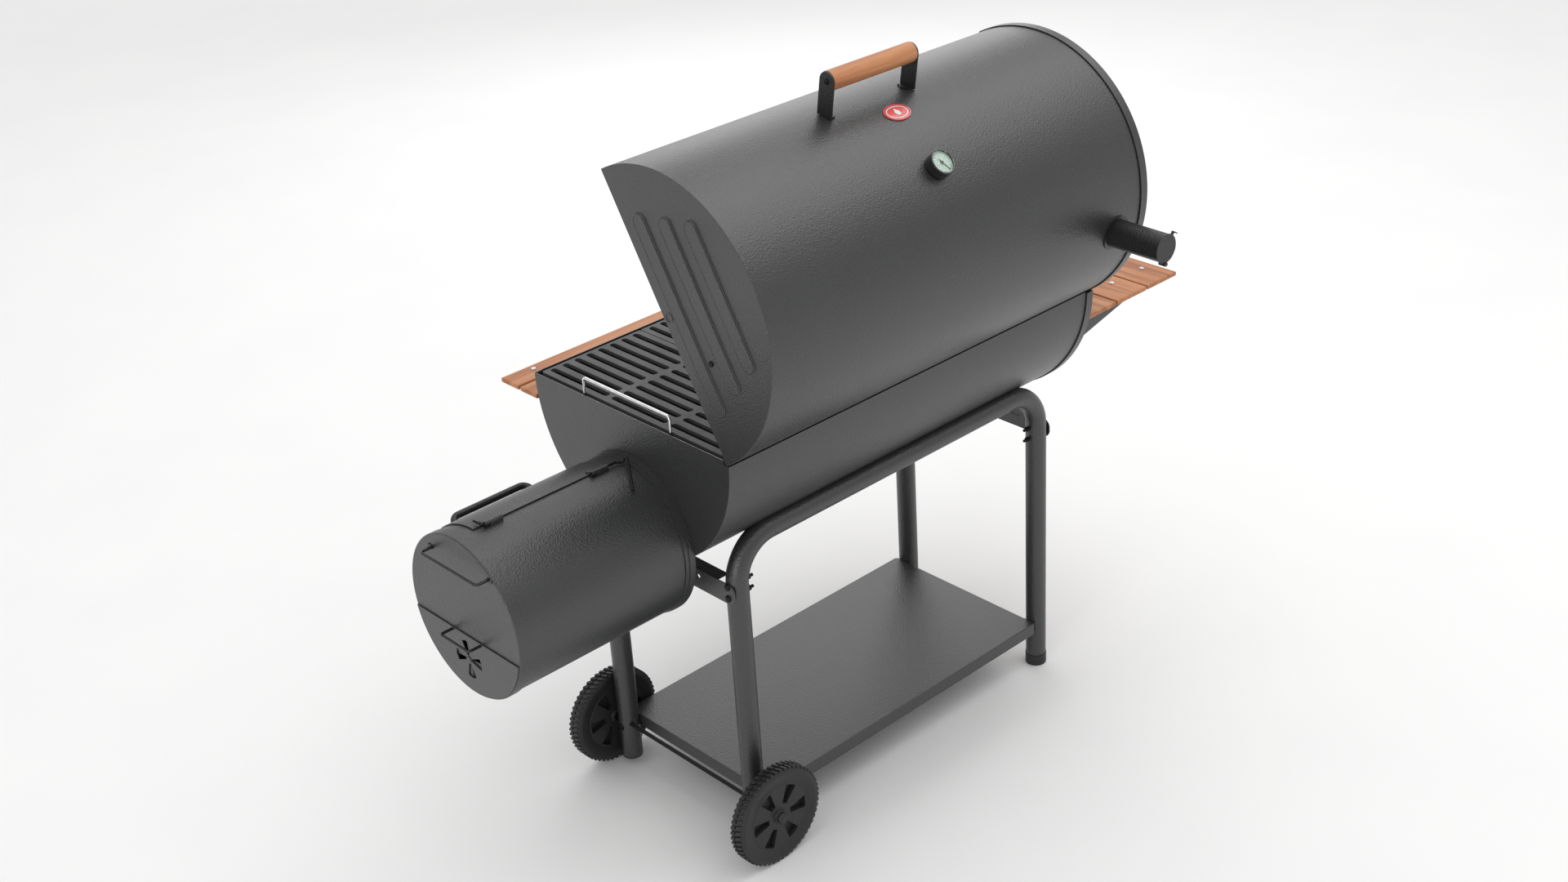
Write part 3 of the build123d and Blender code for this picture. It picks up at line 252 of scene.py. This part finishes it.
def board_shade(tree, place, board_axis, board_pitch):
    """A random value and a random place for each board, by its number along an axis."""
    parts = add_node(tree, "ShaderNodeSeparateXYZ")
    tree.links.new(place, parts.inputs["Vector"])
    number = arithmetic(tree, "FLOOR", arithmetic(tree, "DIVIDE", parts.outputs[board_axis], board_pitch))
    shade = add_node(tree, "ShaderNodeTexWhiteNoise", {"noise_dimensions": "1D"})
    tree.links.new(number, shade.inputs["W"])
    shift = add_node(tree, "ShaderNodeVectorMath", {"operation": "SCALE"})
    shift.inputs["Scale"].default_value = BOARD_SHIFT
    tree.links.new(shade.outputs["Color"], shift.inputs["Vector"])
    moved = add_node(tree, "ShaderNodeVectorMath", {"operation": "ADD"})
    tree.links.new(place, moved.inputs[0])
    tree.links.new(shift.outputs["Vector"], moved.inputs[1])
    return shade.outputs["Value"], moved.outputs["Vector"]


def figure(tree, place, along, stretch, frequency, detail, distortion):
    """Noise drawn out along the grain."""
    scale = [1.0, 1.0, 1.0]
    scale[along] = stretch
    mapping = add_node(tree, "ShaderNodeMapping", Scale=scale)
    tree.links.new(place, mapping.inputs["Vector"])
    node = add_node(tree, "ShaderNodeTexNoise", Scale=frequency, Detail=detail, Distortion=distortion)
    tree.links.new(mapping.outputs["Vector"], node.inputs["Vector"])
    return node.outputs["Fac"]


def wood(name, along, board_axis, board_pitch):
    """Oiled orange-brown hardwood, its grain along one axis; each board has its own shade and figure."""
    made, tree, shader = new_material(name)
    shade, place = board_shade(tree, object_space(tree), board_axis, board_pitch)
    bands = figure(tree, place, along, BAND_STRETCH, frequency=60.0, detail=5.0, distortion=0.6)
    fibres = figure(tree, place, along, FIBRE_STRETCH, frequency=700.0, detail=3.0, distortion=0.0)
    mixed = weighted(tree, bands, fibres, FIBRES_IN_TINT)
    mixed = arithmetic(tree, "ADD", mixed, arithmetic(tree, "MULTIPLY", shade, BOARD_IN_TINT))
    tree.links.new(ramp(tree, mixed, WOOD_STOPS), shader.inputs["Base Color"])
    tree.links.new(spread(tree, fibres, *WOOD_ROUGHNESS), shader.inputs["Roughness"])
    bump(tree, shader, fibres, strength=0.3, distance=0.0004)
    return made


ENAMEL_COAT = 0.4


def enamel(name, colour, roughness):
    """Smooth enamel with faint unevenness."""
    made, tree, shader = new_material(name)
    cloud = noise(tree, 60.0)
    tint = ramp(tree, cloud, [(0.3, colour), (0.7, shaded(colour, 1.1))])
    tree.links.new(tint, shader.inputs["Base Color"])
    shader.inputs["Roughness"].default_value = roughness
    shader.inputs["Coat Weight"].default_value = ENAMEL_COAT
    return made


GLASS_TINT, GLASS_ROUGHNESS = (0.93, 0.98, 0.95, 1.0), (0.02, 0.06)
# Lower than real glass has, for a fainter reflection over the dial.
GLASS_IOR = 1.2


def clear_glass():
    """The dial's window, faintly smeared."""
    made, tree, shader = new_material("clear_glass")
    smear = noise(tree, 120.0)
    tree.links.new(spread(tree, smear, *GLASS_ROUGHNESS), shader.inputs["Roughness"])
    shader.inputs["Base Color"].default_value = GLASS_TINT
    shader.inputs["Transmission Weight"].default_value = 1.0
    shader.inputs["IOR"].default_value = GLASS_IOR
    return made


FINISHES = {
    "painted_steel": painted_steel("painted_steel", shade=0.0205, gloss=0.85),
    "cast_iron": cast_iron(),
    "chrome_wire": metal("chrome_wire", (0.82, 0.82, 0.83), roughness=(0.06, 0.16), scratches=80.0),
    "bright_steel": metal("bright_steel", (0.62, 0.62, 0.63), roughness=(0.25, 0.45), scratches=500.0),
    "dark_steel": metal("dark_steel", (0.03, 0.03, 0.033), roughness=(0.45, 0.62), scratches=500.0),
    "black_plastic": moulded_plastic("black_plastic", (0.012, 0.012, 0.013), roughness=(0.42, 0.6)),
    "dial_black": enamel("dial_black", (0.012, 0.012, 0.012), roughness=0.18),
    "dial_white": enamel("dial_white", (0.6, 0.7, 0.63), roughness=0.4),
    "badge_enamel": enamel("badge_enamel", (0.6, 0.07, 0.08), roughness=0.3),
    "clear_glass": clear_glass(),
}
PAINTED_SHADE_STEEL = painted_shade_steel()
BLACK_PAINT = painted_steel("black_paint", shade=0.009, gloss=0.5)
# Boards are told apart by their pitch; the grip is one board, so its pitch is far more than its height.
FRONT_PITCH, SIDE_PITCH, GRIP_PITCH = 0.0545, 0.094, 0.5
X_AXIS, Y_AXIS = 0, 1
# Nodes whose finish isn't the one of their material slot.
FINISH_OF_NODE = {
    # Painted shade: the tray, the fire grate and the grate rails take the near-black finish, so the
    # barrel's inside reads as shade through the slots.
    "charcoal_tray": PAINTED_SHADE_STEEL,
    "fire_grate": PAINTED_SHADE_STEEL,
    "grate_rails": PAINTED_SHADE_STEEL,
    "smokestack_tube": BLACK_PAINT,
    "smokestack_damper": BLACK_PAINT,
    "lid_handle_brackets": BLACK_PAINT,
    "firebox_lid_handle": BLACK_PAINT,
    "firebox_grab_handle": BLACK_PAINT,
    "ash_drawer_handle": BLACK_PAINT,
    "front_shelf_slats": wood("wood_front", X_AXIS, "Y", FRONT_PITCH),
    "side_shelf_slats": wood("wood_side", Y_AXIS, "X", SIDE_PITCH),
    "lid_handle_grip": wood("wood_grip", X_AXIS, "Z", GRIP_PITCH),
}


def assign(obj, finish):
    """One material on every face of an object."""
    obj.data.materials.clear()
    obj.data.materials.append(finish)


def dress_nodes():
    """Every CAD node takes its own finish, or else that of its material slot."""
    for part in frame["record"]["subparts"]:
        node = frame["nodes"][part["node"]]
        finish = FINISH_OF_NODE.get(part["node"]) or FINISHES[part["material_slot"]]
        assign(node, finish)


dress_nodes()

# ---- pieces built here ----

SMOOTH_BELOW = math.radians(35)


def add_piece(name, bm, finish, body, place=(0.0, 0.0, 0.0)):
    """An object from a bmesh, smooth but for its sharp edges, with its slot's finish, riding on a body."""
    bmesh.ops.recalc_face_normals(bm, faces=bm.faces)
    mesh = bpy.data.meshes.new(name)
    bm.to_mesh(mesh)
    bm.free()
    mesh.shade_smooth()
    mesh.set_sharp_from_angle(angle=SMOOTH_BELOW)
    piece = bpy.data.objects.new(name, mesh)
    piece.location = place
    bpy.context.scene.collection.objects.link(piece)
    assign(piece, FINISHES[finish])
    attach(piece, body)
    return piece


# A wheel is a moulded disc with six wedge pockets a side and two rows of slanted tread lugs.
POCKETS = 6
POCKET_DEPTH = 0.011
POCKET_IN, POCKET_OUT = 0.026, 0.063
POCKET_HALF_ANGLE = math.radians(12.0)
POCKET_WALL = 0.0009
# Radius and half width of the moulding, from the bore out to the middle of the tread.
WHEEL_PROFILE = [
    (0.0042, 0.0164), (0.0118, 0.0164), (0.0130, 0.0156), (0.0140, 0.0128), (0.0250, 0.0126),
    (POCKET_IN, 0.0126), (POCKET_IN + POCKET_WALL, 0.0126), (0.0445, 0.0128),
    (POCKET_OUT - POCKET_WALL, 0.0130), (POCKET_OUT, 0.0130),
    (0.0655, 0.0130), (0.0662, 0.0125), (0.0672, 0.0125), (0.0679, 0.0131), (0.0850, 0.0150),
    (0.0868, 0.0154), (0.0880, 0.0154), (0.0888, 0.0149), (0.0918, 0.0149), (0.0940, 0.0136),
    (0.0952, 0.0108),
]
# Vertices over a pocket's half angle each way, and over the spoke after it as shares of its width.
POCKET_STEPS = (-1.0, -0.92, -0.5, 0.0, 0.5, 0.92, 1.0)
SPOKE_STEPS = [step / 8 for step in range(1, 8)]
LUGS = 54
LUG_FOOT_R, LUG_TOP_R = 0.0945, 0.0984
LUG_SPAN = (0.0007, 0.0128)
LUG_HALF_ANGLE = math.radians(1.75)
LUG_SLANT = math.radians(2.6)
LUG_INSET = 0.85
# The two rows of lugs are set a half pitch apart.
ROW_SHIFT = 0.25


def wheel_angles():
    """The angles of the wheel's vertices, and whether each lies inside a pocket."""
    sector = 2 * math.pi / POCKETS
    half = POCKET_HALF_ANGLE
    angles = []
    for pocket in range(POCKETS):
        middle = pocket * sector
        angles += [(middle + half * step, abs(step) < 1.0) for step in POCKET_STEPS]
        angles += [(middle + half + (sector - 2 * half) * step, False) for step in SPOKE_STEPS]
    return angles


def wheel_ring(bm, radius, half_width, side):
    """One ring of vertices on one side, sunk where it lies inside a pocket."""
    between = POCKET_IN < radius < POCKET_OUT
    ring = []
    for angle, inside in wheel_angles():
        depth = POCKET_DEPTH if between and inside else 0.0
        y = side * (half_width - depth)
        ring.append(bm.verts.new((radius * math.cos(angle), y, radius * math.sin(angle))))
    return ring


def bridge(bm, first, second):
    """A closed band of faces between two rings."""
    count = len(first)
    for i in range(count):
        j = (i + 1) % count
        bm.faces.new((first[i], first[j], second[j], second[i]))


def add_lug(bm, middle, side):
    """One tread lug: a slanted block, narrower at its top."""
    inner, outer = LUG_SPAN
    centre, half = (inner + outer) / 2, (outer - inner) / 2
    corners = []
    for radius, inset in ((LUG_FOOT_R, 1.0), (LUG_TOP_R, LUG_INSET)):
        for end, turn in ((-1, -1), (-1, 1), (1, 1), (1, -1)):
            angle = middle + side * end * LUG_SLANT / 2 + turn * LUG_HALF_ANGLE * inset
            y = side * (centre + end * half * inset)
            corners.append(bm.verts.new((radius * math.cos(angle), y, radius * math.sin(angle))))
    foot, top = corners[:4], corners[4:]
    bm.faces.new(foot)
    bm.faces.new(top)
    bridge(bm, foot, top)


def make_wheel(node, body):
    """The wheel that stands for a CAD wheel, at that wheel's middle."""
    bm = bmesh.new()
    rings = [wheel_ring(bm, radius, width, 1) for radius, width in WHEEL_PROFILE]
    rings += [wheel_ring(bm, radius, width, -1) for radius, width in reversed(WHEEL_PROFILE)]
    for first, second in zip(rings, rings[1:] + rings[:1]):
        bridge(bm, first, second)
    for side in (-1, 1):
        for lug in range(LUGS):
            add_lug(bm, 2 * math.pi * (lug + ROW_SHIFT * side) / LUGS, side)
    low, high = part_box(node)
    piece = add_piece(node + "_moulding", bm, "black_plastic", body, (low + high) / 2)
    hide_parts(node)


for node, body in (("front_wheel", "front_cart_wheel"), ("rear_wheel", "rear_cart_wheel")):
    make_wheel(node, body)

# The lid stands open: its drum's middle is turned about the hinge.
LID_OPEN = math.radians(60.45)
HINGE_FROM_CENTRE = Vector((0.0, 0.2507, 0.0075))
LID_CENTRE = CENTRE + HINGE_FROM_CENTRE - Matrix.Rotation(-LID_OPEN, 3, "X") @ HINGE_FROM_CENTRE


def lid_axes(node):
    """The middle of a node on the lid and the outward and round directions of the drum there."""
    low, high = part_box(node)
    middle = (low + high) / 2
    outward = middle - LID_CENTRE
    outward.x = 0.0
    outward.normalize()
    return middle, outward, outward.cross(Vector((1, 0, 0)))


def add_prism(bm, outline, place):
    """A closed prism on an outline, from its lower level to its upper one."""
    lower = [bm.verts.new(place(u, v, 0)) for u, v in outline]
    upper = [bm.verts.new(place(u, v, 1)) for u, v in outline]
    bm.faces.new(lower)
    bm.faces.new(upper)
    bridge(bm, lower, upper)


# The pressed ribs of the lid's near cap have raised rolled edges.
# Height over the drum's middle, offset and half length of each rib, on the shut lid.
RIB_ROWS = ((0.050, 0.005, 0.178), (0.1105, 0.004, 0.153), (0.1695, 0.003, 0.130))
RIB_HALF_WIDTH, RIB_EDGE_HALF_WIDTH = 0.017, 0.0138
RIB_EDGE_R = 0.0012
# The rolled edge's middle lies this far under the face, as a share of its radius.
RIB_EDGE_SUNK = 0.45
RIB_END_STEPS, RIB_ROUND_STEPS = 16, 8


def rib_edge_path(height, offset, half_length):
    """The middles and outward directions of a long round-ended loop, seen on the shut lid as (y, z)."""
    path = []
    for end in (1, -1):
        middle = Vector((0, offset + end * (half_length - RIB_HALF_WIDTH), height))
        for step in range(RIB_END_STEPS + 1):
            turn = math.pi * step / RIB_END_STEPS - end * math.pi / 2
            out = Vector((0, math.cos(turn), math.sin(turn)))
            path.append((middle + out * RIB_EDGE_HALF_WIDTH, out))
    return path


def make_rib_edges():
    """The rolled edges round the three ribs."""
    bm = bmesh.new()
    turned = Matrix.Rotation(-LID_OPEN, 3, "X")
    face_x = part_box("lid_near_cap")[1].x
    for rib in RIB_ROWS:
        rings = []
        for point, out in rib_edge_path(*rib):
            ring = []
            for step in range(RIB_ROUND_STEPS):
                angle = 2 * math.pi * step / RIB_ROUND_STEPS
                spot = turned @ (point + out * RIB_EDGE_R * math.cos(angle)) + LID_CENTRE
                spot.x = face_x + RIB_EDGE_R * (math.sin(angle) - RIB_EDGE_SUNK)
                ring.append(bm.verts.new(spot))
            rings.append(ring)
        for first, second in zip(rings, rings[1:] + rings[:1]):
            bridge(bm, first, second)
    add_piece("lid_cap_rib_edges", bm, "painted_steel", "barrel_lid")


make_rib_edges()

# The dial's scale: ticks over the needle's whole travel from its place at rest, every fifth one longer.
TICKS, LONG_EVERY = 41, 5
NEEDLE_BACK, NEEDLE_ON = math.radians(-240), math.radians(30)
TICK_OUT, TICK_LONG, TICK_SHORT = 0.0192, 0.0036, 0.0018
TICK_WIDTH = 0.00045
DIAL_HALF_THICK = 0.0005
TICK_RAISE = 0.0002


def dial_place():
    """A function that places a point of the dial's face: across, up the lid, and out of the face."""
    middle, outward, round_it = lid_axes("thermometer_dial")
    return lambda u, v, out: middle + Vector((u, 0, 0)) - round_it * v + outward * (DIAL_HALF_THICK + out)


def needle_angle():
    """The angle of the needle's tip at rest, across and up the face."""
    middle, outward, round_it = lid_axes("thermometer_dial")
    points = [vertex.co - middle for vertex in frame["nodes"]["thermometer_needle"].data.vertices]
    tip = max(points, key=lambda point: (point - point.project(outward)).length)
    return math.atan2(-tip.dot(round_it), tip.x)


def make_ticks():
    """The printed ticks of the thermometer, as thin raised bars."""
    bm = bmesh.new()
    on_face = dial_place()
    rest = needle_angle()

    def place(u, v, top):
        """From inside the dial's disc to a little over its face."""
        return on_face(u, v, TICK_RAISE * top - DIAL_HALF_THICK * (1 - top) / 2)

    for tick in range(TICKS):
        turn = NEEDLE_BACK + (NEEDLE_ON - NEEDLE_BACK) * tick / (TICKS - 1)
        angle = rest - turn
        length = TICK_SHORT if tick % LONG_EVERY else TICK_LONG
        along = Vector((math.cos(angle), math.sin(angle)))
        across = Vector((-along.y, along.x)) * TICK_WIDTH / 2
        inner, outer = along * (TICK_OUT - length), along * TICK_OUT
        outline = [tuple(p) for p in (inner - across, outer - across, outer + across, inner + across)]
        add_prism(bm, outline, place)
    add_piece("dial_ticks", bm, "dial_black", "barrel_lid")


make_ticks()

# The badge's plain device: an oval line inside its rim and a flame.
BADGE_TOP = 0.0016
DEVICE_RAISE = 0.0004
RING_OUT, RING_IN = (0.0222, 0.0152), (0.0206, 0.0136)
RING_STEPS = 64
FLAME_HALF, FLAME_FOOT, FLAME_TIP, FLAME_STEPS = 0.0052, -0.0078, 0.0098, 24
# The flame is widest below its middle, and its sides waver by a share of its width.
FLAME_LEAN, FLAME_WAVER, FLAME_WAVES = 0.62, 0.12, 5


def badge_place():
    """A function that places a point on the badge: along the lid, round it, and under or over its face."""
    middle, outward, round_it = lid_axes("lid_badge")

    def place(u, v, top):
        """Heights on the badge are lengths round the drum."""
        radius = BARREL_R + BADGE_TOP + DEVICE_RAISE * (2 * top - 1)
        turn = -v / BARREL_R
        out = outward * math.cos(turn) + round_it * math.sin(turn)
        return Vector((middle.x + u, LID_CENTRE.y, LID_CENTRE.z)) + out * radius

    return place


def flame_outline():
    """Half width against height of a plain drop-shaped flame, both sides."""
    right = []
    for step in range(1, FLAME_STEPS):
        share = step / FLAME_STEPS
        drop = math.sin(math.pi * share ** FLAME_LEAN)
        waver = 1.0 + FLAME_WAVER * math.sin(FLAME_WAVES * math.pi * share)
        right.append((FLAME_HALF * drop * waver, FLAME_FOOT + (FLAME_TIP - FLAME_FOOT) * share))
    left = [(-u, v) for u, v in reversed(right)]
    return [(0.0, FLAME_FOOT)] + right + [(0.0, FLAME_TIP)] + left


def make_badge_device():
    """The oval line and the flame, raised on the badge."""
    bm = bmesh.new()
    place = badge_place()
    loops = []
    for (wide, high), top in ((RING_OUT, 0), (RING_OUT, 1), (RING_IN, 1), (RING_IN, 0)):
        turns = [2 * math.pi * step / RING_STEPS for step in range(RING_STEPS)]
        loops.append([bm.verts.new(place(wide * math.cos(t), high * math.sin(t), top)) for t in turns])
    for first, second in zip(loops, loops[1:] + loops[:1]):
        bridge(bm, first, second)
    add_prism(bm, flame_outline(), place)
    add_piece("badge_device", bm, "dial_white", "barrel_lid")


make_badge_device()

# ---- stage, light and camera ----

CAMERA_FROM_CENTRE = Vector((2.32803, 2.50928, 1.58521))
CAMERA_AZIMUTH = math.radians(138.386)
CAMERA_ELEVATION = math.radians(27.806)
CAMERA_ROLL = math.radians(-3.708)
CAMERA_LENS = 47.18
CAMERA_REACH = 150.0
FLOOR_HALF_SIZE = 60.0
FLOOR_DARK, FLOOR_PALE = (0.8, 0.8, 0.8), (0.84, 0.84, 0.835)
FLOOR_ROUGHNESS = 0.9


def make_camera():
    """A camera where the photographer's was, looking over the rear at the firebox end."""
    turn, rise = CAMERA_AZIMUTH, CAMERA_ELEVATION
    back = Vector((math.sin(turn) * math.cos(rise), -math.cos(turn) * math.cos(rise), math.sin(rise)))
    right = Vector((math.cos(turn), math.sin(turn), 0.0))
    up = back.cross(right)
    c, s = math.cos(CAMERA_ROLL), math.sin(CAMERA_ROLL)
    rolled_right = c * right + s * up
    rolled_up = c * up - s * right
    camera = bpy.data.objects.new("camera", bpy.data.cameras.new("camera"))
    bpy.context.scene.collection.objects.link(camera)
    turned = Matrix((rolled_right, rolled_up, back)).transposed().to_4x4()
    camera.matrix_world = Matrix.Translation(CENTRE + CAMERA_FROM_CENTRE) @ turned
    camera.data.lens = CAMERA_LENS
    camera.data.clip_end = CAMERA_REACH
    bpy.context.scene.camera = camera


def make_floor():
    """A wide pale floor that the light fades on."""
    size = FLOOR_HALF_SIZE
    mesh = bpy.data.meshes.new("floor")
    corners = [(-size, -size, 0), (size, -size, 0), (size, size, 0), (-size, size, 0)]
    mesh.from_pydata(corners, [], [(0, 1, 2, 3)])
    floor = bpy.data.objects.new("floor", mesh)
    bpy.context.scene.collection.objects.link(floor)
    made, tree, shader = new_material("floor_paper")
    mottle = noise(tree, 3.0)
    tree.links.new(ramp(tree, mottle, [(0.0, FLOOR_DARK), (1.0, FLOOR_PALE)]), shader.inputs["Base Color"])
    shader.inputs["Roughness"].default_value = FLOOR_ROUGHNESS
    assign(floor, made)


def area_light(name, place, target, size, power):
    """A square soft box at a place, aimed at a target, with its power in watts."""
    data = bpy.data.lights.new(name, "AREA")
    data.shape = "SQUARE"
    data.size = size
    data.energy = power
    light = bpy.data.objects.new(name, data)
    bpy.context.scene.collection.objects.link(light)
    aim = (Vector(target) - Vector(place)).normalized()
    light.rotation_mode = "QUATERNION"
    light.rotation_quaternion = aim.to_track_quat("-Z", "Y")
    light.location = place
    light.visible_camera = False


SKY_AT_HORIZON, SKY_OVERHEAD = 0.3, 1.32
# A pale strip along the skyline, so that the floor has no hard edge in low views.
STRIP_LEVEL, STRIP_FULL_TO, STRIP_ENDS_AT = 0.52, 0.05, 0.13


def make_sky():
    """A white studio dome, dimmer towards the horizon."""
    world = bpy.data.worlds.new("studio")
    world.use_nodes = True
    tree = world.node_tree
    background = tree.nodes["Background"]
    background.inputs["Color"].default_value = (1.0, 1.0, 1.0, 1.0)
    height = add_node(tree, "ShaderNodeSeparateXYZ")
    tree.links.new(add_node(tree, "ShaderNodeTexCoord").outputs["Generated"], height.inputs["Vector"])
    dome = spread(tree, height.outputs["Z"], SKY_AT_HORIZON, SKY_OVERHEAD)
    strip = spread(tree, height.outputs["Z"], STRIP_LEVEL, 0.0, start=STRIP_FULL_TO, stop=STRIP_ENDS_AT)
    level = arithmetic(tree, "ADD", dome, strip)
    tree.links.new(level, background.inputs["Strength"])
    bpy.context.scene.world = world


def make_light():
    """The dome and three soft boxes: high on the smokestack's side, in front, and low past the firebox."""
    make_sky()
    area_light("key", place=(-1.3, 0.5, 3.7), target=(0.0, 0.0, 0.8), size=3.0, power=34.0)
    area_light("fill", place=(-2.9, -3.2, 2.3), target=(0.0, 0.0, 0.4), size=2.4, power=25.0)
    area_light("rim", place=(4.3, 1.3, 1.25), target=(0.4, 0.1, 1.0), size=1.5, power=26.0)
    bpy.context.scene.view_settings.view_transform = "Standard"


make_camera()
make_floor()
make_light()
